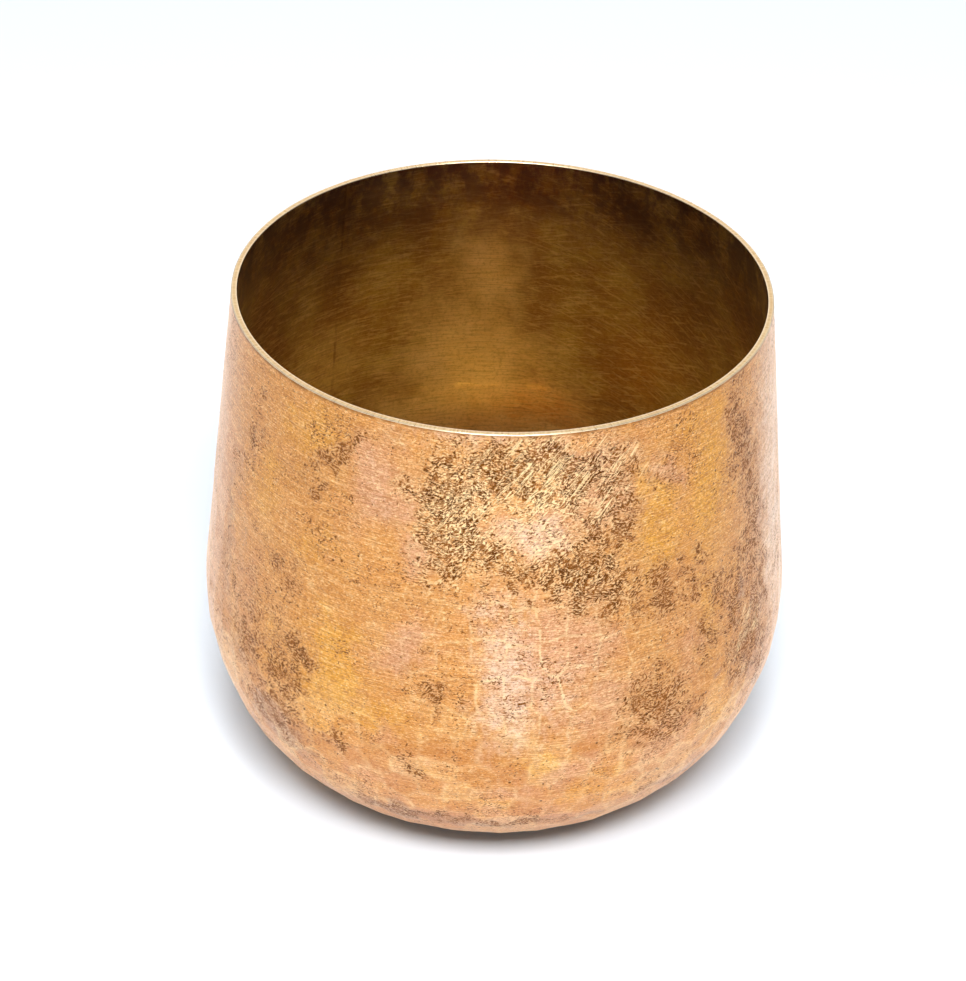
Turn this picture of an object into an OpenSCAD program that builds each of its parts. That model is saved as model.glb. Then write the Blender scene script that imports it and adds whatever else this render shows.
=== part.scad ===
// Hand-hammered brass pot, open at the top. Lengths are millimetres, angles are degrees.
// A rolled, slightly conical side wall and a raised bowl are brazed into one thin-walled vessel.
// The origin is on the surface that the pot stands on, under the middle of the mouth.

/* [Vessel] */
// Height from the standing surface to the rim
height = 90; // [84:1:110]
// Outer diameter at the rim
mouth_d = 88.7; // [84:0.1:100]
// Thickness of the brass sheet
sheet_t = 1; // [0.8:0.1:1.6]
// Slope of the side wall from vertical, so that the pot widens downwards
wall_slope = 5.9; // [3:0.1:8]
// Chamfer filed on both edges of the rim
rim_chamfer = 0.15; // [0.05:0.05:0.25]

/* [Bowl] */
// Outer radius of the arc that starts to turn the wall inwards
shoulder_r = 41.5; // [36:0.5:44]
// Angle that the shoulder arc turns through
shoulder_turn = 29.6; // [24:0.1:36]
// Outer radius of the arc from the shoulder to the flat underside
bowl_r = 28; // [24:0.5:30]

/* [Seams] */
// Direction of the side seam, counter-clockwise from +X
side_seam_at = 130; // [0:1:359]
// Slant of the side seam's filed edges from square
side_seam_slant = 55; // [20:1:65]
// Height over which the bowl's filed edge lies inside the wall's
base_seam_lap = 1.8; // [0.8:0.1:3]
// Thickness of the braze metal in both seams
braze_t = 0.3; // [0.2:0.05:0.6]

/* [Hidden] */
$fn = 180;
mouth_r = mouth_d / 2;
// Slopes of the section from vertical, positive outwards: at the shoulder's lower end it leans inwards
lower_slope = wall_slope - shoulder_turn;
shoulder_h = shoulder_r * (sin(wall_slope) - sin(lower_slope));
bowl_h = bowl_r * (1 + sin(lower_slope));
// The straight wall ends where the shoulder arc starts
straight_end = bowl_h + shoulder_h;
belly_r = outer_r(straight_end);
shoulder_centre = [belly_r - shoulder_r * cos(wall_slope), straight_end - shoulder_r * sin(wall_slope)];
bowl_centre = shoulder_centre + (shoulder_r - bowl_r) * [cos(lower_slope), sin(lower_slope)];
// Each arc is made of short straight steps that turn by at most this angle
arc_step = 2;
// The braze metal lies on a slant, so it is taller than it is thick
seam_run = sheet_t / cos(wall_slope);
braze_h = braze_t * sqrt(seam_run ^ 2 + base_seam_lap ^ 2) / seam_run;
brass = [0.80, 0.60, 0.30];
braze = [0.88, 0.74, 0.42];

// Outer and inner radius of the straight wall at height z
function outer_r(z) = mouth_r + (height - z) * tan(wall_slope);
function inner_r(z) = outer_r(z) - sheet_t / cos(wall_slope);

// Points along an arc round centre, from angle a to angle b, without the one at a
function arc(centre, r, a, b) =
    let (steps = ceil(abs(b - a) / arc_step))
    [for (i = [1:steps]) centre + r * [cos(a + (b - a) * i / steps), sin(a + (b - a) * i / steps)]];

// The curve this far inside the outer face, from the edge of the flat underside up to the straight wall
function bowl_curve(inset) = concat(
    [[bowl_centre.x, inset]],
    arc(bowl_centre, bowl_r - inset, -90, lower_slope),
    arc(shoulder_centre, shoulder_r - inset, lower_slope, wall_slope));

function reversed(points) = [for (i = [len(points) - 1:-1:0]) points[i]];

// The conical wall as a full turn, from its filed lower edge to the chamfered rim
module wall_turn() {
    low = straight_end + braze_h;
    high = low + base_seam_lap;
    under = height - rim_chamfer;
    rotate_extrude() polygon([
        [outer_r(low), low],
        [outer_r(under), under],
        [outer_r(height) - rim_chamfer, height],
        [inner_r(height) + rim_chamfer, height],
        [inner_r(under), under],
        [inner_r(high), high]]);
}

// A thin slab that follows the wall's slope and crosses the sheet once, on a slant
module side_seam_slab() {
    width = 12 * sheet_t;
    middle = belly_r - sheet_t / 2;
    start = [-width / 2, -braze_t / 2, -sheet_t];
    rotate(side_seam_at) translate([middle, 0, straight_end]) rotate([0, -wall_slope, 0])
        rotate(side_seam_slant) translate(start) cube([width, braze_t, height]);
}

// Rolled sheet with a slanting gap where its two edges meet
module side_wall() {
    color(brass) difference() {
        wall_turn();
        side_seam_slab();
    }
}

// Braze metal that fills the gap between the sheet's two edges
module side_seam_braze() {
    color(braze) intersection() {
        wall_turn();
        side_seam_slab();
    }
}

// Hammered bowl: filed upper edge, shoulder arc, bowl arc and flat underside
module base_bowl() {
    high = straight_end + base_seam_lap;
    filed_edge = [[inner_r(high), high]];
    color(brass) rotate_extrude()
        polygon(concat([[0, 0]], bowl_curve(0), filed_edge, reversed(bowl_curve(sheet_t)), [[0, sheet_t]]));
}

// Ring of braze metal between the filed edges of the wall and the bowl
module base_seam_braze() {
    low = straight_end;
    high = straight_end + base_seam_lap;
    color(braze) rotate_extrude() polygon([
        [outer_r(low), low],
        [outer_r(low + braze_h), low + braze_h],
        [inner_r(high + braze_h), high + braze_h],
        [inner_r(high), high]]);
}

side_wall();
base_bowl();
side_seam_braze();
base_seam_braze();
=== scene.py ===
import math
import bpy
import numpy as np
from mathutils import Matrix, Vector


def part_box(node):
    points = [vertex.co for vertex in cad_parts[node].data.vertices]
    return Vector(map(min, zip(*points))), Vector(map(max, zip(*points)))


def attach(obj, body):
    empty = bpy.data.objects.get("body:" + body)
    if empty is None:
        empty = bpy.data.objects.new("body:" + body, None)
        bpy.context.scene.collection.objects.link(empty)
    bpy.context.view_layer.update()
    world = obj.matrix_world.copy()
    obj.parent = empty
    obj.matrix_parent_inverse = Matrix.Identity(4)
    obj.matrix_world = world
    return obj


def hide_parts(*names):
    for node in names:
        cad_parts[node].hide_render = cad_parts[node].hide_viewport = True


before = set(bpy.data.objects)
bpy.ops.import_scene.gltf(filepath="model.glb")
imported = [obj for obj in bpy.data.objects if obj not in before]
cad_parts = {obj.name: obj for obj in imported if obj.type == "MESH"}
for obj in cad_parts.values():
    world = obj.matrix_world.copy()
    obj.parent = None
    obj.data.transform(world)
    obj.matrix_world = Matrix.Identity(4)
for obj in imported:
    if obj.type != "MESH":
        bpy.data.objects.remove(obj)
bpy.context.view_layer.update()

# ---------------------------------------------------------------------------------------------
# The vessel. Lengths are metres, except in names that end in _mm, in the tables of patches, in the
# marks that the materials read and in the materials, which use mm. A direction round the pot goes
# counter-clockwise from the front (-Y) as seen from above: degrees in constants and tables, radians
# in functions. "Run" is the distance down the outer face from the rim, along the section.
# ---------------------------------------------------------------------------------------------
MM = 0.001
CIRCLE_R_MM = 47  # a usual radius of the outer face, for unrolling it flat
SHEET = 1.0 * MM
SLOPE = math.radians(5.9)
SHOULDER_R = 41.5 * MM
SHOULDER_TURN = math.radians(29.6)
RIM_CHAMFER = 0.15 * MM
SEAM_DIRECTION = 220
SEAM_SLANT = math.radians(55)
SEAM_GAP = 0.3 * MM / math.cos(SEAM_SLANT)

wall_low, wall_high = (np.array(corner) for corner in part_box("side_wall"))
ring_low, ring_high = (np.array(corner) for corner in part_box("base_seam_braze"))
RIM_Z = wall_high[2]
STRAIGHT_END = ring_low[2]
SEAM_LAP = ring_high[2] - wall_low[2]
BELLY_R = ring_high[0]
LOWER_SLOPE = SLOPE - SHOULDER_TURN
SHOULDER_H = SHOULDER_R * (math.sin(SLOPE) - math.sin(LOWER_SLOPE))
BOWL_R = (STRAIGHT_END - SHOULDER_H) / (1 + math.sin(LOWER_SLOPE))


def unit_at(angle):
    """The unit vector at that angle from level, outwards and upwards."""
    return np.array([math.cos(angle), math.sin(angle)])


SHOULDER_CENTRE = np.array([BELLY_R, STRAIGHT_END]) - SHOULDER_R * unit_at(SLOPE)
BOWL_CENTRE = SHOULDER_CENTRE + (SHOULDER_R - BOWL_R) * unit_at(LOWER_SLOPE)
WALL_RUN = (RIM_Z - STRAIGHT_END) / math.cos(SLOPE)
SHOULDER_RUN = WALL_RUN + SHOULDER_R * SHOULDER_TURN
BOWL_RUN = SHOULDER_RUN + BOWL_R * (LOWER_SLOPE + math.pi / 2)
CENTRE_RUN = BOWL_RUN + BOWL_CENTRE[0]


def smooth(value, low, high):
    """0 below low, 1 above high, eased between."""
    t = np.clip((value - low) / (high - low), 0, 1)
    return t * t * (3 - 2 * t)


def section(run):
    """Radius, height and the outward normal's two parts on the outer face, at each run in metres."""
    run = np.asarray(run, float)
    angle = np.full(run.shape, SLOPE)
    radius = BELLY_R - (WALL_RUN - run) * math.sin(SLOPE)
    height = STRAIGHT_END + (WALL_RUN - run) * math.cos(SLOPE)
    for start, end, top, centre, r in (
        (WALL_RUN, SHOULDER_RUN, SLOPE, SHOULDER_CENTRE, SHOULDER_R),
        (SHOULDER_RUN, BOWL_RUN, LOWER_SLOPE, BOWL_CENTRE, BOWL_R),
    ):
        on = run > start
        turned = top - (np.minimum(run, end) - start) / r
        angle = np.where(on, turned, angle)
        radius = np.where(on, centre[0] + r * np.cos(turned), radius)
        height = np.where(on, centre[1] + r * np.sin(turned), height)
    flat = run > BOWL_RUN
    radius = np.where(flat, CENTRE_RUN - run, radius)
    height = np.where(flat, 0.0, height)
    return radius, height, np.cos(angle), np.sin(angle)


# ---------------------------------------------------------------------------------------------
# Hammering. Blows lie in rings; each leaves a shallow cup, and neighbouring cups meet in a ridge.
# ---------------------------------------------------------------------------------------------
BLOW_WIDE_MM, BLOW_TALL_MM = 4.6, 7.4  # on the wall; on the bowl blows are rounder
BLOW_ROUNDING = 0.8, -2.2  # how much wider and taller they are there, in mm
RING_STEP = 0.86  # from one ring to the next, in heights of a blow
FAR = 9.0  # a distance from a blow, in its own sizes, that is past all that count
SHARPNESS = 26.0  # of the crease where two cups meet
RIDGE_WIDTH = 0.26  # in the same measure as the cups' size
CUP_SIZE = 0.42
OUT_OF_ROUND_MM = 0.22
rng = np.random.default_rng(7)


def blow_rings():
    """Rings of hammer blows, in mm: (run, width, height, directions, shifts, lifts, tones)."""
    rings = []
    run = 1.5
    while run < CENTRE_RUN / MM - 3:
        low_down = float(smooth(run, 50, 66))
        tall = BLOW_TALL_MM + BLOW_ROUNDING[1] * low_down + rng.uniform(-0.5, 0.5)
        wide = BLOW_WIDE_MM + BLOW_ROUNDING[0] * low_down
        radius = float(section(run * MM)[0]) / MM
        count = max(5, round(2 * math.pi * radius / wide))
        directions = (np.arange(count) + rng.uniform(-0.3, 0.3, count)) * 2 * math.pi / count
        rings.append((run, wide, tall, directions + rng.uniform(0, 2 * math.pi),
                      rng.uniform(-0.3, 0.3, count), rng.uniform(0, 0.22, count), rng.uniform(0, 1, count)))
        run += tall * RING_STEP
    return rings


RINGS = blow_rings()


def hammering(direction, run):
    """Relief in mm, 0 on the highest ridges; how much of a ridge each point is; and its facet's tone."""
    run_mm = run / MM
    radius_mm = section(run)[0] / MM
    nearest = np.full(run.shape, FAR)
    second = np.full(run.shape, FAR)
    tone = np.zeros(run.shape)
    for ring_run, wide, tall, directions, shifts, lifts, tones in RINGS:
        near = np.abs(run_mm - ring_run) < 2.2 * tall
        if not near.any():
            continue
        count = len(directions)
        order = np.argsort(np.mod(directions, 2 * math.pi))
        around = np.mod(directions, 2 * math.pi)[order]
        here = np.mod(direction[near], 2 * math.pi)
        middle = np.searchsorted(around, here)
        for step in (-2, -1, 0, 1):
            k = (middle + step) % count
            gap = np.abs(here - around[k])
            gap = np.minimum(gap, 2 * math.pi - gap) * np.maximum(radius_mm[near], 1)
            along = run_mm[near] - ring_run - shifts[order][k] * tall
            measure = (gap / wide) ** 2 + (along / tall) ** 2 + lifts[order][k]
            was_nearest = nearest[near]
            tone[near] = np.where(measure < was_nearest, tones[order][k], tone[near])
            second[near] = np.minimum(second[near], np.maximum(was_nearest, measure))
            nearest[near] = np.minimum(was_nearest, measure)
    blended = nearest - np.log1p(np.exp(-SHARPNESS * np.minimum(second - nearest, 2))) / SHARPNESS
    depth = 0.03 + 0.06 * smooth(run_mm, 14, 40) + 0.07 * smooth(run_mm, 48, 64)
    relief = -depth * (np.clip(1 - blended / CUP_SIZE, -0.6, 1.0) + 0.6)
    ridge = 1 - smooth(second - nearest, 0.0, RIDGE_WIDTH)
    return relief, ridge, tone


def unevenness(direction, run):
    """How far the hand-made wall lies inside its true round, as mm below 0."""
    run_mm = run / MM
    fade = 1 - smooth(run_mm, 85, 104)
    lobes = 0.45 - 0.35 * np.cos(3 * direction) + 0.15 * np.cos(2 * direction + 2.0 + run_mm / 30)
    return -OUT_OF_ROUND_MM * fade * np.clip(lobes, 0, 1)


def face_points(direction, run, inside):
    """Points of the outer or the inner face, with both kinds of relief, in metres."""
    radius, height, out, up = section(run)
    shift = unevenness(direction, run)
    if inside:
        run_mm = run / MM
        relief = 0.02 * np.sin(direction * 23 + 3 * np.sin(run_mm / 7)) * smooth(run_mm, 3, 30)
        relief *= 1 - smooth(run_mm, 66, 96)
        lift = (shift + relief) * MM - SHEET
    else:
        lift = (shift + hammering(direction, run)[0]) * MM
    flat = run > BOWL_RUN
    lift = np.where(flat & (not inside), np.abs(lift), np.where(flat, -np.abs(lift), lift))
    radius = radius + lift * out
    height = np.where(flat & (not inside), lift, height + lift * up)
    return np.stack([radius * np.sin(direction), -radius * np.cos(direction), height], axis=-1)


# ---------------------------------------------------------------------------------------------
# Meshes
# ---------------------------------------------------------------------------------------------
class Shell:
    """Collects rows of vertices and the faces between them, with what the materials need at each vertex."""

    def __init__(self, name):
        self.name = name
        self.points, self.runs, self.edges, self.faces, self.slots = [], [], [], [], []
        self.count = 0

    def row(self, directions, run, inside=False, points=None, edge=0.0):
        """Adds a row of vertices and gives back their numbers."""
        run = np.broadcast_to(np.asarray(run, float), directions.shape)
        if points is None:
            points = face_points(directions, run, inside)
        self.points.append(points)
        self.runs.append(run / MM)
        self.edges.append(np.full(directions.shape, edge))
        index = np.arange(self.count, self.count + len(directions))
        self.count += len(directions)
        return index

    def bridge(self, upper, lower, slot, closed, flip=False):
        """Faces between two rows, of equal length or with the lower one half as fine."""
        steps = len(upper) if closed else len(upper) - 1
        if closed:
            upper, lower = np.append(upper, upper[0]), np.append(lower, lower[0])
        made = []
        if len(upper) == len(lower):
            made = [(upper[i], lower[i], lower[i + 1], upper[i + 1]) for i in range(steps)]
        else:
            for i in range(0, steps, 2):
                a, b, c, d, e = upper[i], upper[i + 1], upper[i + 2], lower[i // 2], lower[i // 2 + 1]
                made += [(a, d, b), (b, d, e), (b, e, c)]
        if flip:
            made = [face[::-1] for face in made]
        self.faces += made
        self.slots += [slot] * len(made)

    def fan(self, row, centre, slot, flip=False):
        """Faces between a closed row and one vertex."""
        ring = np.append(row, row[0])
        made = [(ring[i], centre, ring[i + 1]) for i in range(len(row))]
        if flip:
            made = [face[::-1] for face in made]
        self.faces += made
        self.slots += [slot] * len(made)

    def build(self, materials, node, slot):
        """The finished piece, in place of that CAD node."""
        points = np.concatenate(self.points)
        runs = np.concatenate(self.runs)
        mesh = bpy.data.meshes.new(self.name)
        mesh.from_pydata(points.tolist(), [], [tuple(int(v) for v in face) for face in self.faces])
        mesh.polygons.foreach_set("material_index", self.slots)
        for material in materials:
            mesh.materials.append(material)
        direction = np.arctan2(points[:, 0], -points[:, 1])
        marks = surface_marks(points, direction, runs)
        marks["run"] = runs
        marks["edge"] = np.concatenate(self.edges)
        for mark, values in marks.items():
            layer = mesh.attributes.new(mark, "FLOAT", "POINT")
            layer.data.foreach_set("value", np.ascontiguousarray(values, dtype=np.float32))
        mesh.shade_smooth()
        mesh.set_sharp_from_angle(angle=math.radians(25))
        piece = bpy.data.objects.new(self.name, mesh)
        bpy.context.scene.collection.objects.link(piece)
        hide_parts(node)
        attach(piece, "root")
        return piece


# ---------------------------------------------------------------------------------------------
# Where the stains, the painted highlights and reflections and the coloured patches are: (direction, run mm,
# half width in degrees, half height in mm, lean, strength). Lean moves a patch sideways, degrees per mm
# down.
# ---------------------------------------------------------------------------------------------
STAINS = [
    (-9, 12, 6.5, 8.5, 0, 1), (1, 6.5, 11, 4.6, 0, 1.1), (13, 8, 8, 5, 0.4, 1.1),
    (23, 9, 8, 7, 0.2, 0.75), (-6, 20, 8, 5, 0.3, 0.9), (5, 24, 7, 3, 0, 0.8), (16, 25, 8, 6, 0.6, 1.05),
    (22, 17, 6, 8, 0.2, 0.85), (24, 28, 4, 5, 0.6, 0.75), (5, 28.3, 1.6, 1.4, 0, 0.8),
    (-10, 25, 2.5, 3, 0, 0.7), (-33, 8.5, 3.2, 5.5, -1.6, 0.85), (-38, 16.5, 2.2, 1.8, 0, 0.8),
    (-58, 14, 3, 3.2, 0, 0.7), (-57.5, 6.5, 1.3, 1, 0, 0.8), (-46, 34, 6, 3.8, 0, 0.6),
    (-54, 31, 3, 2, 0, 0.5), (-41, 48, 4.5, 3.5, 0, 0.9), (-44, 54, 5.5, 4, 0.3, 0.9),
    (-46, 60.5, 7, 5, 0, 0.75), (-54, 50, 9, 13, 0, 0.55), (-30.5, 62.3, 1.8, 1.8, 0, 0.95),
    (-36, 62, 2, 1.6, 0, 0.6), (-22.6, 59.6, 2, 1.5, 0, 0.4), (-15, 63, 2.4, 2, 0.9, 0.95),
    (-10, 47.5, 1.9, 3, 0, 0.85), (-13, 38.5, 3.5, 1.2, 2, 0.5), (33, 32, 3.5, 5.5, 0.3, 0.85),
    (27.5, 32, 1.8, 3.5, 0.5, 0.7), (41, 33, 2.6, 4.5, 0.2, 0.9), (44.7, 28, 1.5, 1.6, 0.5, 0.8),
    (49, 36, 4, 6, 0, 0.8), (45, 45, 3.5, 5, 0, 0.75), (33.5, 54, 6.5, 7.5, 0.2, 1),
    (26, 57, 3, 2.2, 0, 0.6), (43, 58, 2.8, 4, 0.3, 0.8), (57.5, 13, 4.2, 11, 0.15, 0.95),
    (59, 36, 6.5, 6.5, 0, 0.75), (59, 52, 6.5, 6, 0, 0.9), (-5, 76, 6, 1.8, 0.5, 0.85),
    (8, 78, 9, 1.4, 0, 1), (27, 73.5, 2, 1.2, 0, 0.6), (-28, 74, 8, 2, 0.5, 0.5), (8, 17, 7, 4, 0, 0.6),
    (62, 30, 5, 10, 0, 0.8), (64, 44, 5, 8, 0, 0.8), (54, 43, 5, 7, 0, 0.8), (66, 58, 5, 8, 0, 0.7),
    (-66, 44, 5, 16, 0, 0.35), (-14, 77, 12, 1.6, 0.3, 0.9), (40, 74, 8, 1.6, -0.4, 0.6),
    (-62, 22, 3, 8, 0, 0.4), (-22, 76, 9, 2, 0.3, 0.8), (-49, 64, 8, 5, 0, 0.75),
    (38, 70, 9, 4, -0.5, 0.35), (-14, 30, 12, 6, 0, 0.2),
]
CLEAR = [(8, 17, 8, 4.2, 0, 1), (1, 19.5, 5, 2.6, 0, 0.7), (14, 15, 4, 3, 0, 0.8)]
GOLD = [
    (31, 19, 5.5, 8, 0, 1), (47, 14, 6, 12, 0, 0.75), (-31, 45, 4, 7, 0, 1), (-41, 7, 7, 4.5, 0, 0.6),
    (24, 69.5, 7, 4.5, 0, 0.8), (9, 59.5, 3, 1.8, 0, 0.9), (45.5, 41, 2.5, 6, 0, 0.8),
    (-10, 66, 10, 4, 0, 0.4), (-22, 54, 6, 4, 0, 0.6), (-52, 22, 8, 8, 0, 0.4), (-38, 27, 10, 5, 0, 0.35),
    (-2, 72, 9, 2.5, 0, 0.6), (50, 62, 6, 6, 0, 0.5), (-36, 54, 12, 12, 0, 0.5),
    (-30, 68, 10, 4, 0, 0.45), (30, 74, 12, 3, 0, 0.5),
]
ROSE = [
    (-24, 12, 6.5, 7.5, 0, 0.9), (-15, 22, 3, 3, 0, 0.8), (-17, 39, 4, 5, 0, 0.8), (14, 39, 9, 8, 0, 0.9),
    (15, 61.5, 5, 3, 0, 0.8), (34.5, 10, 2, 4.5, 0.3, 0.8), (22, 50, 7, 7, 0, 0.6), (15, 5, 9, 3, 0, 0.8),
    (-21, 57.5, 4, 2, 0, 0.5), (-22, 66, 12, 5, 0, 0.5), (34, 63, 9, 8, 0, 0.55), (6, 75, 30, 4, 0, 0.5),
    (40, 48, 6, 9, 0, 0.4), (21, 10, 9, 8, 0.3, 0.8), (8, 17, 8, 4, 0, 0.8), (66, 30, 7, 30, 0, 0.25),
    (-75, 30, 8, 40, 0, 0.5), (-58, 42, 6, 8, 0, 0.4), (5, 68, 6, 3, 0, 0.5),
]
# Pale patches: some are paler metal; those down the front are a painted highlight, and the tall one at the
# right edge a painted reflection
PALE_AND_HIGHLIGHT = [
    (3, 44, 6, 14, 0, 0.85), (8, 17, 8, 4.2, 0, 0.75), (-2, 32, 5, 5, 0, 0.6), (3, 55, 5, 5, 0, 0.5),
    (12, 48, 9, 9, 0, 0.45), (-22, 11, 4, 6, 0, 0.4), (-14, 44, 5, 12, 0, 0.25), (-7, 14, 8, 9, 0, 0.35),
    (-2, 0, 17, 3, 0, 0.7), (2, 66, 22, 9, 0, 0.30), (73, 28, 9, 36, 0, 0.8),
]
MAUVE = [
    (-20, 76, 6, 2.2, 0, 1.3), (-49, 64, 4, 3, 0, 1), (56, 40.6, 2, 1.6, 0, 0.9),
    (48.5, 53, 1.8, 1.6, 0, 0.8), (22, 78, 5, 1.6, 0, 0.9), (59, 14, 3.5, 10, 0, 0.45),
    (60, 50, 5, 6, 0, 0.5), (-40, 69, 8, 3, 0.6, 0.6), (16, 5, 9, 3, 0, 0.5), (-47, 66, 7, 5, 0, 1),
    (-56, 55, 6, 8, 0, 0.5), (45, 66, 7, 3, 0, 0.4), (-10, 78, 14, 1.6, 0, 1.1),
    (42, 74, 11, 1.8, -0.4, 0.9), (-66, 36, 3, 24, 0, 0.5), (66, 34, 3, 22, 0, 0.3),
]
# Painted highlight: a pale band down the back of the inside, where the lit bottom is seen mirrored
INSIDE_HIGHLIGHT = [
    (187, 46, 12, 17, 0, 1), (183, 24, 8, 10, 0, 0.8), (184, 58, 20, 9, 0, 1.4),
    (222, 40, 12, 12, 0, 0.25),
]
# Painted reflection: an amber glow low down at the back of the inside, where the bright bottom is seen
# mirrored
AMBER_REFLECTION = [(170, 56, 9, 5, 0, 1), (181, 60, 14, 5, 0, 0.7), (148, 44, 8, 8, 0, 0.4)]
LUSTRE = [(-6, 15, 9, 11, 0, 1), (8, 13, 11, 9, 0, 1), (18, 26, 7, 5, 0, 0.6), (16, 6, 12, 5, 0, 0.5)]
LINED = [(7, 44, 15, 15, 0, 1), (2, 65, 36, 8, 0, 0.8)]
SCRATCHED = [
    (14, 7, 13, 5.5, 0.6, 1), (4, 11, 9, 7, 0, 0.7), (60, 50, 5, 5, 0, 0.7), (-8, 14, 7, 7, 0, 0.4),
]

WAVES = 24  # how many crossing waves make up one random field


def waves(points, size):
    """Smooth random values of about -1 to 1 over points in mm, from crossing waves as long as size."""
    total = np.zeros(len(points))
    for _ in range(WAVES):
        heading = rng.normal(size=3)
        pace = 2 * math.pi / (size * rng.uniform(0.7, 1.5)) / np.linalg.norm(heading)
        total += np.sin(points @ heading * pace + rng.uniform(0, 2 * math.pi))
    return total / math.sqrt(WAVES)


def ragged(points, direction, run):
    """The direction and the run, both shifted by random waves, so that patches get uneven edges."""
    place = points / MM
    shift = [waves(place, 12) + 0.9 * waves(place, 5) + 0.6 * waves(place, 2.4) for _ in range(2)]
    return direction + shift[0] / CIRCLE_R_MM, run + shift[1]


# Each repeat is turned by so many degrees and resized. Only patches nearer the front than REPEATED_TO are
# repeated, and only to places that lie further round than BACK_FROM.
REPEATS = ((0, 1.0), (141, 0.8), (-137, 1.15))
REPEATED_TO = 66
BACK_FROM = 88


def patches(direction, run, places, repeated=True):
    """The strongest of several soft-edged patches at each point, with repeats in other sizes at the back."""
    degrees = np.degrees(direction)
    total = np.zeros(run.shape)
    for middle, depth, wide, tall, lean, strength in places:
        for turn, swap in REPEATS:
            place = np.mod(middle * swap + turn + 180, 360) - 180
            if turn and (abs(place) < BACK_FROM or abs(middle) > REPEATED_TO or not repeated):
                continue
            across = np.mod(degrees - place - lean * (run - depth) + 180, 360) - 180
            spread = (across / (wide * swap)) ** 2 + ((run - depth) / (tall * swap)) ** 2
            height = strength * (0.8 if turn else 1.0)
            total = np.maximum(total, height * np.exp(-0.7 * spread**0.95))
    return total


def surface_marks(points, direction, runs):
    """The strength of each kind of patch, and the hammering's ridges and tones, at each vertex."""
    _, ridge, tone = hammering(direction, runs * MM)
    hammered = smooth(runs, 8, 34)
    # Every piece gets the same waves, so that a patch runs on over a seam
    state = rng.bit_generator.state
    direction, runs = ragged(points, direction, runs)
    rng.bit_generator.state = state
    clear = patches(direction, runs, CLEAR)
    return {
        "stain": patches(direction, runs, STAINS) * (1 - 0.5 * clear),
        "gold": patches(direction, runs, GOLD),
        "rose": patches(direction, runs, ROSE),
        "pale_and_highlight": patches(direction, runs, PALE_AND_HIGHLIGHT),
        "mauve": patches(direction, runs, MAUVE),
        "scratched": patches(direction, runs, SCRATCHED, repeated=False),
        "inside_highlight": patches(direction, runs, INSIDE_HIGHLIGHT, repeated=False),
        "amber_reflection": patches(direction, runs, AMBER_REFLECTION, repeated=False),
        "lustre": patches(direction, runs, LUSTRE, repeated=False),
        "ridge": ridge * hammered,
        "facet": 0.5 + (tone - 0.5) * hammered,
        "lined": hammered * (0.12 + 0.88 * patches(direction, runs, LINED)),
    }


# ---------------------------------------------------------------------------------------------
# Materials
# ---------------------------------------------------------------------------------------------
def colour(red, green, blue):
    """A display colour, 0 to 255, as the linear colour that shaders take."""
    shown = [part / 255 for part in (red, green, blue)]
    linear = [c / 12.92 if c <= 0.04045 else ((c + 0.055) / 1.055) ** 2.4 for c in shown]
    return (*linear, 1.0)


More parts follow.
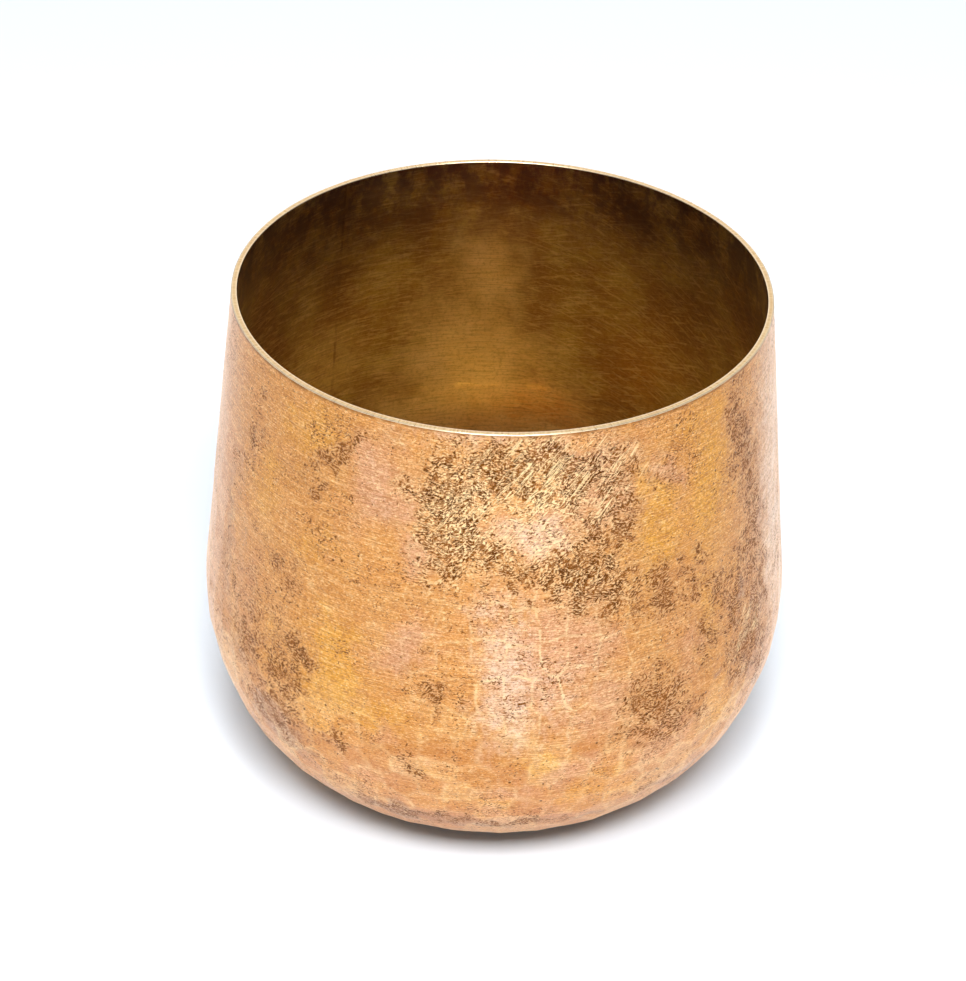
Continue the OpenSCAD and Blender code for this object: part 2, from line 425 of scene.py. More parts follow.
class Graph:
    """One material's nodes. Each method adds a node and gives back its output."""

    def __init__(self, name):
        self.material = bpy.data.materials.new(name)
        self.material.use_nodes = True
        self.nodes = self.material.node_tree.nodes
        self.links = self.material.node_tree.links
        self.nodes.clear()
        self.shader = self.nodes.new("ShaderNodeBsdfPrincipled")
        output = self.nodes.new("ShaderNodeOutputMaterial")
        self.links.new(self.shader.outputs[0], output.inputs[0])

    def feed(self, socket, value):
        if isinstance(value, bpy.types.NodeSocket):
            self.links.new(value, socket)
        else:
            socket.default_value = value

    def math(self, operation, *values):
        node = self.nodes.new("ShaderNodeMath")
        node.operation = operation
        for socket, value in zip(node.inputs, values):
            self.feed(socket, value)
        return node.outputs[0]

    def vector(self, operation, *values):
        node = self.nodes.new("ShaderNodeVectorMath")
        node.operation = operation
        for socket, value in zip(node.inputs, values):
            self.feed(socket, value)
        return node.outputs[0]

    def length(self, vector):
        node = self.nodes.new("ShaderNodeVectorMath")
        node.operation = "LENGTH"
        self.links.new(vector, node.inputs[0])
        return node.outputs["Value"]

    def ease(self, value, low, high, to_low=0.0, to_high=1.0):
        """A smooth change from to_low to to_high while the value goes from low to high."""
        node = self.nodes.new("ShaderNodeMapRange")
        node.interpolation_type = "SMOOTHSTEP"
        for socket, item in zip(node.inputs, (value, low, high, to_low, to_high)):
            self.feed(socket, item)
        return node.outputs[0]

    def mix(self, amount, first, second):
        """Between two colours."""
        node = self.nodes.new("ShaderNodeMix")
        node.data_type = "RGBA"
        self.feed(node.inputs[0], amount)
        self.feed(node.inputs[6], first)
        self.feed(node.inputs[7], second)
        return node.outputs[2]

    def mark(self, name):
        """The mark of that name that the mesh carries at each vertex."""
        node = self.nodes.new("ShaderNodeAttribute")
        node.attribute_name = name
        return node.outputs["Fac"]

    def place(self):
        """The point in mm in the pot's own frame."""
        node = self.nodes.new("ShaderNodeTexCoord")
        return self.vector("MULTIPLY", node.outputs["Object"], (1 / MM, 1 / MM, 1 / MM))

    def around(self):
        """The point moved out onto one circle, with the run as its height. It has no cut anywhere."""
        flat = self.vector("MULTIPLY", self.place(), (1, 1, 0))
        scale = self.math("DIVIDE", CIRCLE_R_MM, self.math("MAXIMUM", self.length(flat), 15.0))
        circle = self.vector("MULTIPLY", flat, scale)
        node = self.nodes.new("ShaderNodeCombineXYZ")
        self.links.new(self.mark("run"), node.inputs[2])
        return self.vector("ADD", circle, node.outputs[0])

    def noise(self, vector, size, detail=2.0, rough=0.5, distort=0.0, shift=0.0):
        """Noise whose features measure size mm: one number, or one for each axis."""
        sizes = size if isinstance(size, tuple) else (size, size, size)
        node = self.nodes.new("ShaderNodeTexNoise")
        scaled = self.vector("MULTIPLY", vector, tuple(1 / s for s in sizes))
        self.links.new(self.vector("ADD", scaled, (shift, shift * 1.7, shift * 0.6)), node.inputs["Vector"])
        node.inputs["Scale"].default_value = 1.0
        node.inputs["Detail"].default_value = detail
        node.inputs["Roughness"].default_value = rough
        node.inputs["Distortion"].default_value = distort
        return node.outputs["Fac"]

    def dots(self, vector, size, shift=0.0):
        """Distance from scattered points, one per cell of size mm, and a random number for each cell."""
        node = self.nodes.new("ShaderNodeTexVoronoi")
        scaled = self.vector("MULTIPLY", vector, (1 / size, 1 / size, 1 / size))
        self.links.new(self.vector("ADD", scaled, (shift, shift, shift)), node.inputs["Vector"])
        node.inputs["Scale"].default_value = 1.0
        return node.outputs["Distance"], node.outputs["Color"]

    def facets(self, vector, size):
        """How far each point is from the edge of its cell, in cells as wide and tall as size."""
        node = self.nodes.new("ShaderNodeTexVoronoi")
        node.voronoi_dimensions = "2D"
        node.feature = "DISTANCE_TO_EDGE"
        node.inputs["Scale"].default_value = 1.0
        node.inputs["Randomness"].default_value = 0.5
        self.links.new(self.vector("MULTIPLY", vector, (1 / size[0], 1 / size[1], 0)), node.inputs["Vector"])
        return node.outputs["Distance"]

    def unrolled(self):
        """The point on the skin, cut along the side seam and laid flat: distance round, the run, and 0."""
        split = self.nodes.new("ShaderNodeSeparateXYZ")
        self.links.new(self.turned(self.place(), 180 - SEAM_DIRECTION), split.inputs[0])
        turn = self.math("ARCTAN2", split.outputs[0], self.math("MULTIPLY", split.outputs[1], -1.0))
        node = self.nodes.new("ShaderNodeCombineXYZ")
        self.links.new(self.math("MULTIPLY", turn, CIRCLE_R_MM), node.inputs[0])
        self.links.new(self.mark("run"), node.inputs[1])
        return node.outputs[0]

    def tilted(self, vector, degrees):
        """The point with its frame turned about X, Y and Z, for strokes that run on a slant."""
        node = self.nodes.new("ShaderNodeMapping")
        self.links.new(vector, node.inputs["Vector"])
        node.inputs["Rotation"].default_value = tuple(math.radians(d) for d in degrees)
        return node.outputs[0]

    def turned(self, vector, degrees):
        return self.tilted(vector, (0, 0, degrees))

    def swayed(self, vector, size, amount):
        """The point moved about by up to that many mm, in swirls that measure size mm."""
        node = self.nodes.new("ShaderNodeTexNoise")
        scaled = self.vector("MULTIPLY", vector, (1 / size, 1 / size, 1 / size))
        self.links.new(scaled, node.inputs["Vector"])
        node.inputs["Scale"].default_value = 1.0
        node.inputs["Detail"].default_value = 1.0
        centred = self.vector("SUBTRACT", node.outputs["Color"], (0.5, 0.5, 0.5))
        return self.vector("ADD", vector, self.vector("MULTIPLY", centred, (2 * amount, 2 * amount, 0)))

    def blend(self, amount, first, second):
        """Between two numbers."""
        node = self.nodes.new("ShaderNodeMix")
        self.feed(node.inputs[0], amount)
        self.feed(node.inputs[2], first)
        self.feed(node.inputs[3], second)
        return node.outputs[0]

    def finish(self, base, roughness, height, depth_mm):
        """Metal of that colour and roughness, with a bump of depth_mm where height goes from 0 to 1."""
        self.feed(self.shader.inputs["Base Color"], base)
        self.feed(self.shader.inputs["Roughness"], roughness)
        self.shader.inputs["Metallic"].default_value = 1.0
        bump = self.nodes.new("ShaderNodeBump")
        bump.inputs["Strength"].default_value = 1.0
        bump.inputs["Distance"].default_value = depth_mm * MM
        self.links.new(height, bump.inputs["Height"])
        self.links.new(bump.outputs[0], self.shader.inputs["Normal"])
        return self.material


ORANGE = colour(215, 148, 78)
GOLDEN = colour(226, 160, 56)
PINK = colour(216, 159, 122)
PALE_HIGHLIGHT_CREAM = colour(234, 203, 178)
BROWN = colour(88, 46, 12)
MID_BROWN = colour(134, 81, 34)
FADED_BROWN = colour(162, 104, 54)
RUST = colour(183, 114, 61)
TAN = colour(174, 116, 69)
WASH = colour(170, 111, 63)
CREAM = colour(252, 224, 169)
GREY_MAUVE = colour(140, 114, 104)
TARNISH = colour(80, 66, 54)


def outside_brass():
    """Aged orange brass: patches (some of them a painted highlight), mottle, facets, stains, pits, scratches
    and a painted shadow line under the rim, in that order.
    """
    g = Graph("OutsideBrass")
    place, around, unrolled = g.place(), g.around(), g.unrolled()
    run = g.mark("run")
    # Broad colours: orange brass with golden, pink and mauve patches, and pale patches that are partly paler
    # metal, partly a painted highlight down the front and a painted reflection along the right edge
    cloud = g.noise(place, 10.0, detail=5, rough=0.68)
    cloud_2 = g.noise(place, 7.0, detail=5, rough=0.68, shift=5.2)
    pale_and_highlight_noise = g.noise(around, (1.6, 1.6, 2.6), detail=4, rough=0.7, shift=3.3)
    dull = g.noise(around, (3.0, 3.0, 2.0), detail=4, rough=0.6)
    gold = g.ease(g.math("MULTIPLY_ADD", cloud, 1.1, g.mark("gold")), 0.60, 1.25)
    rose = g.ease(g.math("MULTIPLY_ADD", cloud_2, 1.1, g.mark("rose")), 0.60, 1.25)
    # Painted highlight and painted edge reflection, mixed with paler metal
    pale_and_highlight = g.ease(g.math("MULTIPLY_ADD", pale_and_highlight_noise, 1.2, g.mark("pale_and_highlight")), 0.75, 1.60)
    mauve = g.ease(g.math("MULTIPLY_ADD", dull, 0.8, g.mark("mauve")), 0.60, 1.20)
    base = g.mix(g.math("MULTIPLY", gold, 0.85), ORANGE, GOLDEN)
    base = g.mix(g.math("MULTIPLY", rose, 0.80), base, PINK)
    base = g.mix(g.math("MULTIPLY", pale_and_highlight, 0.85), base, PALE_HIGHLIGHT_CREAM)
    base = g.mix(g.math("MULTIPLY", mauve, 0.65), base, GREY_MAUVE)
    # Mottle: rusty spots, short dark flecks along the brushing, fine grain and faint brushed lines
    mottle = g.noise(around, (2.2, 2.2, 1.4), detail=5, rough=0.75, shift=1.9)
    flecks = g.noise(around, (0.9, 0.9, 0.26), detail=3, rough=0.7, shift=3.1)
    grain = g.noise(around, (0.50, 0.50, 0.26), detail=4, rough=0.78, shift=6.6)
    lines = g.noise(around, (6, 6, 0.20), detail=3, rough=0.65)
    base = g.mix(g.ease(mottle, 0.50, 0.68, 0.0, 0.60), base, RUST)
    base = g.mix(g.ease(mottle, 0.30, 0.46, 0.30, 0.0), base, CREAM)
    base = g.mix(g.ease(flecks, 0.52, 0.64, 0.0, 0.66), base, TAN)
    base = g.mix(g.ease(grain, 0.49, 0.64, 0.0, 0.84), base, TAN)
    base = g.mix(g.ease(grain, 0.32, 0.48, 0.62, 0.0), base, CREAM)
    base = g.mix(g.ease(lines, 0.35, 0.58, 0.22, 0.0), base, BROWN)
    base = g.mix(g.ease(lines, 0.54, 0.74, 0.0, 0.32), base, CREAM)
    # Facets left by the hammer: low down each has its own tone, and their edges are rubbed bright
    rim_of_facet = g.facets(g.swayed(unrolled, 4.0, 0.6), (5.0, 6.4))
    kept_lines = g.ease(g.noise(place, 3.2, detail=4, rough=0.6), 0.34, 0.58)
    low_down = g.ease(run, 45, 62)
    lined = g.math("MULTIPLY", g.mark("lined"), kept_lines)
    outline = g.math("MULTIPLY", g.ease(rim_of_facet, 0.0, 0.075, 1.0, 0.0), lined)
    outline = g.math("MULTIPLY", outline, g.math("MULTIPLY_ADD", low_down, -0.75, 1.0))
    rubbed = g.math("MULTIPLY", g.mark("ridge"), g.math("MULTIPLY", low_down, kept_lines))
    edges = g.math("MAXIMUM", g.math("MULTIPLY", outline, 0.50), g.math("MULTIPLY", rubbed, 0.26))
    base = g.mix(edges, base, CREAM)
    toned = g.math("MULTIPLY_ADD", low_down, 0.75, 0.25)
    dark_facet = g.ease(g.mark("facet"), 0.30, 1.0, 0.0, 0.38)
    base = g.mix(g.math("MULTIPLY", dark_facet, toned), base, RUST)
    light_facet = g.ease(g.mark("facet"), 0.0, 0.40, 0.11, 0.0)
    base = g.mix(g.math("MULTIPLY", light_facet, toned), base, CREAM)
    # Stains: a brown wash, and fine brown strokes and dots with bright metal between
    clumps = g.ease(g.noise(place, 2.0, detail=4, rough=0.68, shift=2.2), 0.36, 0.60)
    loose = g.ease(g.noise(place, 9.0, detail=4, rough=0.6, shift=4.4), 0.42, 0.64, 0.16, 0.62)
    kept = g.math("MULTIPLY_ADD", clumps, 0.75, 0.48)
    stain = g.math("MULTIPLY", g.mark("stain"), kept)
    stain = g.math("MULTIPLY", stain, g.math("MULTIPLY_ADD", g.mark("lustre"), 0.25, 1.40))
    density = g.math("MINIMUM", g.math("MAXIMUM", stain, g.math("MULTIPLY", loose, kept)), 1.0)
    curled = g.swayed(unrolled, 3.0, 0.8)
    level_strokes, rising_strokes = (
        g.noise(g.turned(curled, angle), (0.54, tall, 1), detail=2, rough=0.66, distort=0.2, shift=shift)
        for angle, tall, shift in ((-8, 0.30, 8.4), (32, 0.31, 2.9)))
    either = g.ease(g.noise(place, 4.5, detail=2, shift=9.9), 0.44, 0.56)
    speckle = g.blend(either, level_strokes, rising_strokes)
    level = g.math("MULTIPLY_ADD", density, -0.235, 0.71)
    spots = g.ease(g.math("SUBTRACT", speckle, level), -0.008, 0.018)
    # Rubbing across the worst stain has cut through it in short lines every way
    hatch = g.ease(g.noise(g.turned(unrolled, 55), (2.6, 0.20, 1), detail=1, shift=5.0), 0.60, 0.70)
    for angle, shift in ((-20, 11.0), (100, 13.0), (12, 17.0)):
        more = g.ease(g.noise(g.turned(unrolled, angle), (1.8, 0.18, 1), detail=1, shift=shift), 0.62, 0.72)
        hatch = g.math("MAXIMUM", hatch, more)
    hatch = g.math("MULTIPLY", hatch, g.mark("lustre"))
    spots = g.math("MULTIPLY", spots, g.math("MULTIPLY_ADD", hatch, -0.8, 1.0))
    shine = g.math("MULTIPLY_ADD", g.mark("lustre"), 0.60, 0.20)
    gaps = g.ease(speckle, 0.36, 0.48, 1.0, 0.0)
    bright = g.math("MULTIPLY", g.math("MULTIPLY", g.ease(stain, 0.12, 0.60), shine), gaps)
    base = g.mix(g.math("MULTIPLY", g.ease(stain, 0.08, 0.9), 0.42), base, WASH)
    base = g.mix(bright, base, CREAM)
    base = g.mix(g.math("MULTIPLY", g.math("MULTIPLY", hatch, g.ease(stain, 0.1, 0.5)), 0.7), base, CREAM)
    dirt = g.mix(g.ease(g.noise(place, 1.6, detail=2, shift=7.7), 0.4, 0.6), BROWN, MID_BROWN)
    dirt = g.mix(g.ease(g.mark("lustre"), 0.05, 0.5, 0.38, 0.0), dirt, FADED_BROWN)
    base = g.mix(g.math("MULTIPLY", spots, 0.95), base, dirt)
    # Pits: fine ones everywhere, in drifts, and larger ones low down
    distance, random = g.dots(place, 2.3)
    deep = g.ease(run, 20, 55, 0.72, 0.50)
    pits = g.math("MULTIPLY", g.ease(distance, 0.07, 0.12, 1.0, 0.0), g.math("GREATER_THAN", random, deep))
    near, chance = g.dots(place, 0.95, shift=3.3)
    drift = g.ease(g.noise(place, 6.0, detail=3, shift=6.1), 0.40, 0.64, 0.93, 0.52)
    fine = g.math("MULTIPLY", g.ease(near, 0.10, 0.20, 0.85, 0.0), g.math("GREATER_THAN", chance, drift))
    pits = g.math("MAXIMUM", pits, fine)
    base = g.mix(g.math("MULTIPLY", pits, 0.8), base, BROWN)
    # Scratches on a slant
    slant = g.noise(g.turned(unrolled, 52), (4, 0.17, 1), detail=2, shift=4.0)
    slant_2 = g.noise(g.turned(unrolled, 41), (2.5, 0.17, 1), detail=2, shift=9.0)
    bundle = g.ease(g.noise(g.turned(unrolled, 50), (6, 1.8, 1), detail=2, shift=1.0), 0.44, 0.56)
    scratch = g.math("MAXIMUM", g.ease(slant, 0.56, 0.63), g.ease(slant_2, 0.60, 0.67))
    scratch = g.math("MULTIPLY", scratch, bundle)
    scratch = g.math("MULTIPLY", scratch, g.ease(g.mark("scratched"), 0.10, 0.5))
    base = g.mix(g.math("MULTIPLY", scratch, 0.80), base, CREAM)
    # The side seam's strip of braze metal
    stained = g.ease(g.noise(around, (2, 2, 4), detail=3), 0.35, 0.60, 0.2, 0.8)
    base = g.mix(g.math("MULTIPLY", g.mark("edge"), stained), base, MID_BROWN)
    # A painted shadow: a dark line just under the rim's edge; and old tarnish underneath
    rim_shadow_line = g.ease(run, 0.25, 0.70, 1.0, 0.0)
    rim_shadow_line = g.math("MULTIPLY", rim_shadow_line, g.ease(g.noise(place, 2.5), 0.3, 0.6))
    rim_shadow_line = g.math("MULTIPLY", rim_shadow_line, g.ease(g.mark("pale_and_highlight"), 0.1, 0.5, 0.65, 0.0))
    base = g.mix(rim_shadow_line, base, MID_BROWN)
    under = g.ease(g.math("MULTIPLY_ADD", g.noise(place, 3.0, detail=3), 5.0, run), 93, 98)
    base = g.mix(g.math("MULTIPLY", under, 0.94), base, TARNISH)
    # A film of fine dust and handling brightens the metal where it is seen edge on
    g.shader.inputs["Sheen Weight"].default_value = 0.22
    g.shader.inputs["Sheen Roughness"].default_value = 0.25
    g.shader.inputs["Sheen Tint"].default_value = (1.0, 0.95, 0.86, 1.0)
    roughness = g.math("MULTIPLY_ADD", spots, 0.18, g.ease(cloud_2, 0.3, 0.7, 0.36, 0.46))
    height = g.math("MULTIPLY_ADD", lines, 0.35, g.math("MULTIPLY", grain, 0.65))
    sunk = g.math("MAXIMUM", pits, g.math("MULTIPLY", spots, 0.8))
    height = g.math("SUBTRACT", height, g.math("MULTIPLY", sunk, 1.3))
    height = g.math("MULTIPLY_ADD", scratch, -0.5, height)
    height = g.math("MULTIPLY_ADD", g.ease(rim_of_facet, 0.0, 0.25, 0.5, 0.0), g.mark("lined"), height)
    return g.finish(base, roughness, height, 0.055)


def inside_brass():
    """Brushed brass, with a painted highlight down the back and a painted amber reflection low down, and
    darkened near the rim.
    """
    g = Graph("InsideBrass")
    place, around = g.place(), g.around()
    run = g.mark("run")
    cloud = g.noise(place, 12.0, detail=4, rough=0.6, shift=1.1)
    lines = g.noise(around, (7.0, 7.0, 0.24), detail=4, rough=0.72, shift=2.0)
    arcs = g.noise(g.tilted(place, (14, 10, 0)), (5, 5, 0.42), detail=3, rough=0.65, shift=7.0)
    arcs_2 = g.noise(g.tilted(place, (-20, -16, 0)), (4.5, 4.5, 0.38), detail=3, rough=0.65, shift=17.0)
    grain = g.noise(around, (0.6, 0.6, 0.6), detail=3, rough=0.75, shift=4.0)
    # Painted highlight: the pale band down the back of the inside
    inside_highlight = g.ease(g.math("MULTIPLY_ADD", cloud, 0.5, g.mark("inside_highlight")), 0.25, 1.1)
    base = g.mix(g.ease(cloud, 0.38, 0.66), colour(168, 129, 70), colour(193, 161, 80))
    base = g.mix(inside_highlight, base, colour(252, 222, 156))
    # Painted reflection: amber glow low down at the back of the inside
    base = g.mix(g.math("MULTIPLY", g.mark("amber_reflection"), 0.8), base, colour(214, 140, 56))
    brushed = g.math("MULTIPLY", g.ease(lines, 0.36, 0.56, 0.32, 0.0), g.ease(run, 84, 104, 1.0, 0.2))
    base = g.mix(brushed, base, colour(104, 68, 34))
    bright_arcs = g.ease(g.math("MAXIMUM", arcs, arcs_2), 0.52, 0.66, 0.0, 0.48)
    base = g.mix(bright_arcs, base, colour(242, 206, 140))
    base = g.mix(g.ease(grain, 0.46, 0.68, 0.0, 0.26), base, colour(108, 72, 40))
    base = g.mix(g.ease(grain, 0.30, 0.46, 0.24, 0.0), base, colour(240, 208, 150))
    high = g.ease(g.math("MULTIPLY_ADD", cloud, 12.0, run), 4.0, 30.0, 1.0, 0.0)
    dark = g.noise(around, (4, 4, 6), detail=5, rough=0.7, shift=5.0)
    darkened = g.math("MULTIPLY", high, g.ease(dark, 0.38, 0.58, 0.25, 0.95))
    base = g.mix(darkened, base, colour(104, 72, 62))
    stained = g.ease(g.noise(around, (3, 3, 6), detail=2), 0.42, 0.62, 0.1, 0.55)
    seam = g.math("MULTIPLY", g.mark("edge"), stained)
    base = g.mix(g.math("MULTIPLY", seam, g.ease(run, 34, 44, 1.0, 0.3)), base, colour(100, 66, 38))
    height = g.math("MULTIPLY_ADD", arcs, 0.4, g.math("MULTIPLY", lines, 0.5))
    height = g.math("MULTIPLY_ADD", grain, 0.3, height)
    return g.finish(base, g.ease(cloud, 0.3, 0.7, 0.34, 0.42), height, 0.03)


def rim_brass():
    """Brass filed bright, with its edges rubbed brighter still."""
    g = Graph("RimBrass")
    place = g.place()
    file_marks = g.noise(g.around(), (0.45, 0.45, 0.12), detail=3, rough=0.7)
    patchy = g.noise(place, 5.0, detail=3)
    base = g.mix(g.ease(file_marks, 0.35, 0.7), colour(178, 144, 97), colour(220, 191, 146))
    base = g.mix(g.ease(patchy, 0.5, 0.75, 0.0, 0.4), base, colour(176, 134, 88))
    base = g.mix(g.math("MULTIPLY", g.mark("edge"), 0.8), base, colour(236, 216, 182))
    return g.finish(base, g.ease(file_marks, 0.3, 0.7, 0.26, 0.4), file_marks, 0.02)


def braze_metal():
    """The braze metal where it is laid bare between two sheets."""
    g = Graph("BrazeMetal")
    place = g.place()
    grain = g.noise(place, 0.6, detail=3, rough=0.7)
    patchy = g.noise(place, 4.0, detail=3, shift=3.0)
    base = g.mix(g.ease(grain, 0.35, 0.7), colour(122, 84, 50), colour(168, 122, 76))
    base = g.mix(g.ease(patchy, 0.45, 0.7, 0.0, 0.6), base, colour(88, 58, 36))
    return g.finish(base, g.ease(patchy, 0.3, 0.7, 0.36, 0.5), grain, 0.03)


OUTSIDE, INSIDE, RIM, BRAZE = outside_brass(), inside_brass(), rim_brass(), braze_metal()
SKINS = [OUTSIDE, INSIDE, RIM, BRAZE]
ON_OUTSIDE, ON_INSIDE, ON_RIM, ON_BRAZE = range(4)

# ---------------------------------------------------------------------------------------------
# The four pieces
# ---------------------------------------------------------------------------------------------
# Columns round the outer face and the inner one, and rows down the outer and inner faces of the wall
FINE = 816
COARSE = FINE // 2
OUTER_ROWS = 94
INNER_ROWS = 31
INNER_DROP = SHEET * math.sin(SLOPE)  # the inner face lies this much lower at the same run


def run_at(z, inside=False):
    """The run of the wall's outer or inner face at that height."""
    return (RIM_Z - z - (INNER_DROP if inside else 0)) / math.cos(SLOPE)


def seam_edges(side, inside):
    """Direction, in radians, of the side seam's edge on side -1 or 1. Its slant moves the inner ones."""
    taper = 0.1  # about what the radius loses per unit of height
    middle_r = BELLY_R - taper * (RIM_Z - STRAIGHT_END) / 2
    shift = 0.5 * SHEET * math.tan(SEAM_SLANT) * (-1 if inside else 1) + side * SEAM_GAP / 2
    return math.radians(SEAM_DIRECTION) + shift / middle_r


def rim_rows(shell, directions_out, directions_in):
    """Rows over the rim's filed edge, from the outer rounding to the inner one, at the fine spacing."""
    outer_top = face_points(directions_out, np.full(directions_out.shape, RIM_CHAMFER), False)
    inner_run = run_at(RIM_Z, True) + RIM_CHAMFER
    inner_top = face_points(directions_in, np.full(directions_in.shape, inner_run), True)
    across = (inner_top - outer_top) * (1, 1, 0)
    width = np.linalg.norm(across, axis=1, keepdims=True)
    inward = across / width
    turns = np.linspace(0, math.pi / 2, 5)
    rows = []

    def row(start, step, drop, directions, edge):
        points = start + inward * step
        points[:, 2] = RIM_Z - drop
        rows.append(shell.row(directions, 0.0, points=points, edge=edge))

    def rounding(turn):
        return RIM_CHAMFER * (1 - math.cos(turn)), RIM_CHAMFER * (1 - math.sin(turn))

    for turn in turns:
        step, drop = rounding(turn)
        row(outer_top, step, drop, directions_out, 1.0)
    for share in (0.2, 0.5, 0.8):
        step = RIM_CHAMFER + (width - 2 * RIM_CHAMFER) * share
        row(outer_top, step, 0.0, directions_out, abs(share - 0.5))
    for turn in turns[::-1]:
        step, drop = rounding(turn)
        row(inner_top, -step, drop, directions_in, 1.0)
    return rows


def wall_like(name, outer_ends, inner_ends, columns, edge=0.0):
    """A piece of the conical wall between two directions, closed at its rim and its lower edge."""
    shell = Shell(name)
    out = np.linspace(*outer_ends, columns + 1)
    inn = np.linspace(*inner_ends, columns + 1)
    inn_coarse = inn[::2] if columns == FINE else inn
    rim = rim_rows(shell, out, inn)
    for upper, lower in zip(rim, rim[1:]):
        shell.bridge(lower, upper, ON_RIM, False)
    outer = [rim[0]]
    for run in np.linspace(RIM_CHAMFER, run_at(wall_low[2]), OUTER_ROWS)[1:]:
        outer.append(shell.row(out, run, edge=edge))
    for upper, lower in zip(outer, outer[1:]):
        shell.bridge(upper, lower, ON_OUTSIDE, False)
    inner = [rim[-1]]
    first = run_at(RIM_Z, True) + RIM_CHAMFER
    for run in np.linspace(first, run_at(wall_low[2] + SEAM_LAP, True), INNER_ROWS)[1:]:
        inner.append(shell.row(inn_coarse, run, inside=True, edge=edge))
    for upper, lower in zip(inner, inner[1:]):
        shell.bridge(upper, lower, ON_INSIDE, False, flip=True)
    shell.bridge(outer[-1], inner[-1], ON_INSIDE, False)
    close_ends(shell, rim[1:] + inner[1:] + outer[::-1])
    return shell


def close_ends(shell, rows):
    """Closes the two ends of an open piece of wall with one many-sided face each."""
    for end, flip in ((0, False), (-1, True)):
        loop = [row[end] for row in rows]
        if flip:
            loop = loop[::-1]
        shell.faces.append(tuple(loop))
        shell.slots.append(ON_BRAZE)


def side_wall():
    turn = 2 * math.pi
    outer_ends = seam_edges(1, False), seam_edges(-1, False) + turn
    inner_ends = seam_edges(1, True), seam_edges(-1, True) + turn
    wall_like("SideWall", outer_ends, inner_ends, FINE).build(SKINS, "side_wall", "brass_sheet")


def side_seam():
    outer_ends = seam_edges(-1, False), seam_edges(1, False)
    inner_ends = seam_edges(-1, True), seam_edges(1, True)
    shell = wall_like("SideSeamBraze", outer_ends, inner_ends, 3, edge=1.0)
    shell.build(SKINS, "side_seam_braze", "braze_metal")


def around_rows(count):
    """Directions of that many columns, evenly round."""
    return np.arange(count) * 2 * math.pi / count


def face_rows(shell, start, inside, fine, spacing, slot, flip):
    """Closed rows from start to the middle of the bottom, thinned as they shrink. Gives the first."""
    count = fine
    run = start
    first = previous = shell.row(around_rows(count), run, inside)
    run += spacing
    while CENTRE_RUN - run > 1.5 * MM:
        radius = float(section(run)[0])
        crowded = 2 * math.pi * radius / count < 0.42 * spacing
        wanted = count // 2 if crowded and count % 2 == 0 and count > 60 else count
        row = shell.row(around_rows(wanted), run, inside)
        shell.bridge(previous, row, slot, True, flip)
        previous, count = row, wanted
        run += spacing
    centre = shell.row(np.array([0.0]), CENTRE_RUN, inside)[0]
    shell.fan(previous, centre, slot, flip)
    return first


def base_bowl():
    shell = Shell("BaseBowl")
    outer = face_rows(shell, WALL_RUN, False, FINE, 0.56 * MM, ON_OUTSIDE, False)
    inner = face_rows(shell, run_at(STRAIGHT_END + SEAM_LAP, True), True, COARSE, 1.2 * MM, ON_INSIDE, True)
    shell.bridge(outer, inner, ON_INSIDE, True, flip=True)
    shell.build(SKINS, "base_bowl", "brass_sheet")


def base_seam():
    shell = Shell("BaseSeamBraze")
    directions = around_rows(FINE)
    coarse = around_rows(COARSE)
    outer = [shell.row(directions, run) for run in np.linspace(run_at(wall_low[2]), WALL_RUN, 3)]
    top = run_at(wall_low[2] + SEAM_LAP, True)
    bottom = run_at(STRAIGHT_END + SEAM_LAP, True)
    inner = [shell.row(coarse, run, True) for run in np.linspace(top, bottom, 3)]
    for upper, lower in zip(outer, outer[1:]):
        shell.bridge(upper, lower, ON_OUTSIDE, True)
    for upper, lower in zip(inner, inner[1:]):
        shell.bridge(upper, lower, ON_INSIDE, True, flip=True)
    shell.bridge(outer[0], inner[0], ON_BRAZE, True, flip=True)
    shell.bridge(outer[-1], inner[-1], ON_BRAZE, True)
    shell.build(SKINS, "base_seam_braze", "braze_metal")


side_wall()
side_seam()
base_bowl()
base_seam()

# ---------------------------------------------------------------------------------------------
# Floor, light and camera
# ---------------------------------------------------------------------------------------------


def pale_floor():
    """Matt and pale, and glowing a long way from the pot, so that it stays pale out to its edge."""
    g = Graph("PaleFloor")
    g.feed(g.shader.inputs["Base Color"], (0.70, 0.75, 0.81, 1))
    g.feed(g.shader.inputs["Roughness"], 0.9)
    g.feed(g.shader.inputs["Specular IOR Level"], 0.0)
    g.feed(g.shader.inputs["Emission Color"], (1, 1, 1, 1))
    g.feed(g.shader.inputs["Emission Strength"], g.ease(g.length(g.place()), 500, 1100))
    return g.material


def floor():
    mesh = bpy.data.meshes.new("Floor")
    half = 2.5
    corners = [(-half, -half, 0), (half, -half, 0), (half, half, 0), (-half, half, 0)]
    mesh.from_pydata(corners, [], [(0, 1, 2, 3)])
    mesh.materials.append(pale_floor())
    piece = bpy.data.objects.new("Floor", mesh)
    bpy.context.scene.collection.objects.link(piece)


def area_light(name, place, target, size, power):
    data = bpy.data.lights.new(name, "AREA")
    data.shape = "RECTANGLE"
    data.size, data.size_y = size
    data.energy = power
    light = bpy.data.objects.new(name, data)
    light.location = place
    light.rotation_euler = (Vector(target) - Vector(place)).to_track_quat("-Z", "Y").to_euler()
    bpy.context.scene.collection.objects.link(light)


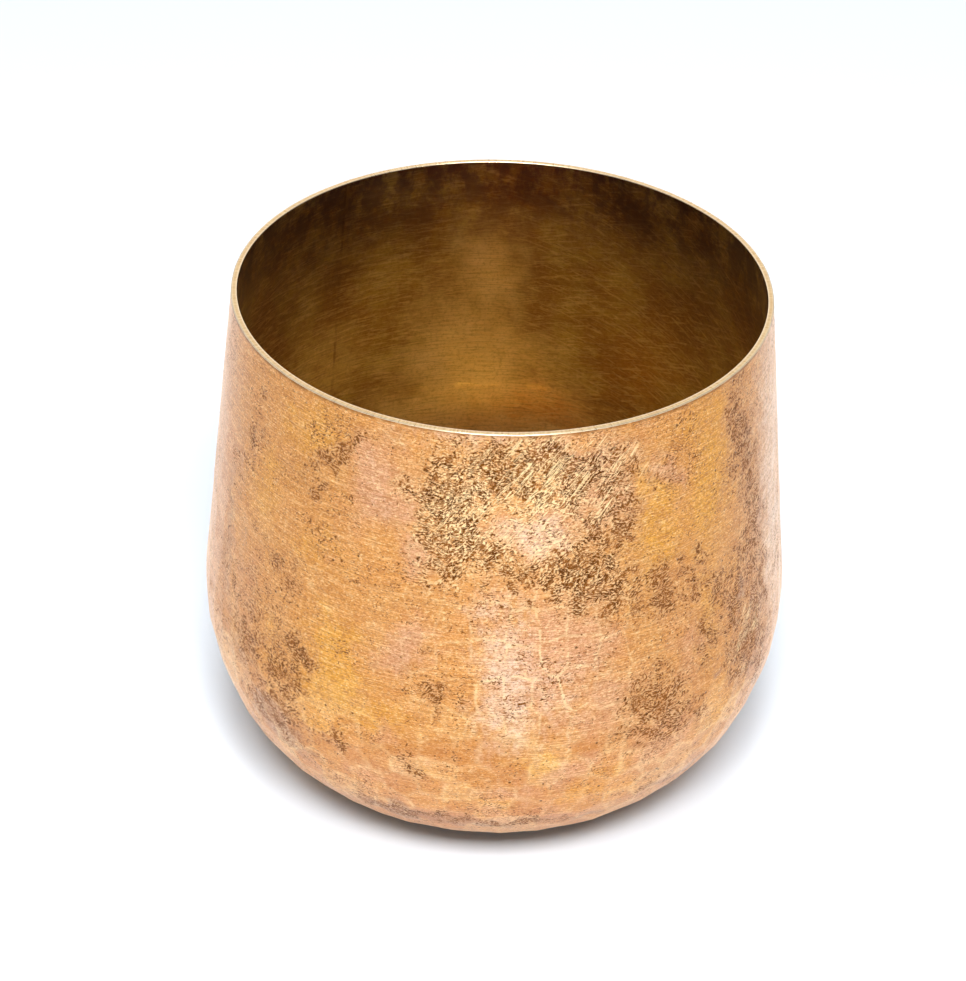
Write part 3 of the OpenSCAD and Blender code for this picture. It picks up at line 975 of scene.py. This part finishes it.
def studio():
    """An even, dim surround that is bright only near the horizon, and four soft boxes."""
    world = bpy.data.worlds.new("Studio")
    bpy.context.scene.world = world
    world.use_nodes = True
    nodes, links = world.node_tree.nodes, world.node_tree.links
    split = nodes.new("ShaderNodeSeparateXYZ")
    links.new(nodes.new("ShaderNodeTexCoord").outputs["Generated"], split.inputs[0])
    fade = nodes.new("ShaderNodeMapRange")
    fade.interpolation_type = "SMOOTHSTEP"
    links.new(split.outputs[2], fade.inputs["Value"])
    fade.inputs["From Min"].default_value = 0.02
    fade.inputs["From Max"].default_value = 0.12
    fade.inputs["To Min"].default_value = 1.0
    fade.inputs["To Max"].default_value = 0.25
    background = nodes["Background"]
    background.inputs["Color"].default_value = (1.0, 1.0, 1.0, 1)
    links.new(fade.outputs[0], background.inputs["Strength"])
    area_light("KeySoftbox", (0.03, -0.74, 0.97), (0, 0, 0.03), (0.55, 0.30), 21.0)
    area_light("TopSoftbox", (-0.03, -0.30, 1.15), (0, 0, 0.03), (0.30, 0.30), 6.0)
    area_light("FrontSoftbox", (0.08, -0.95, 0.17), (0, 0, 0.05), (0.5, 0.25), 0.9)
    area_light("BackSoftbox", (0.0, 0.9, 0.62), (0, 0, 0.09), (0.6, 0.6), 1.7)


def camera():
    """A long lens, looking down at the pot from the front at 34 degrees, turned very slightly."""
    data = bpy.data.cameras.new("Camera")
    data.lens = 110.1
    data.sensor_width = 36
    data.clip_start, data.clip_end = 0.01, 20
    view = bpy.data.objects.new("Camera", data)
    back = Vector((0, -0.8274, 0.5616)).normalized()
    roll = math.radians(1.58)
    level_right = Vector((1, 0, 0))
    level_up = back.cross(level_right)
    right = level_right * math.cos(roll) + level_up * math.sin(roll)
    up = level_up * math.cos(roll) - level_right * math.sin(roll)
    matrix = Matrix((right, up, back)).transposed().to_4x4()
    matrix.translation = Vector((-2.3, -423.5, 337.2)) * MM
    view.matrix_world = matrix
    bpy.context.scene.collection.objects.link(view)
    bpy.context.scene.camera = view


floor()
studio()
camera()
bpy.context.scene.view_settings.view_transform = "Standard"
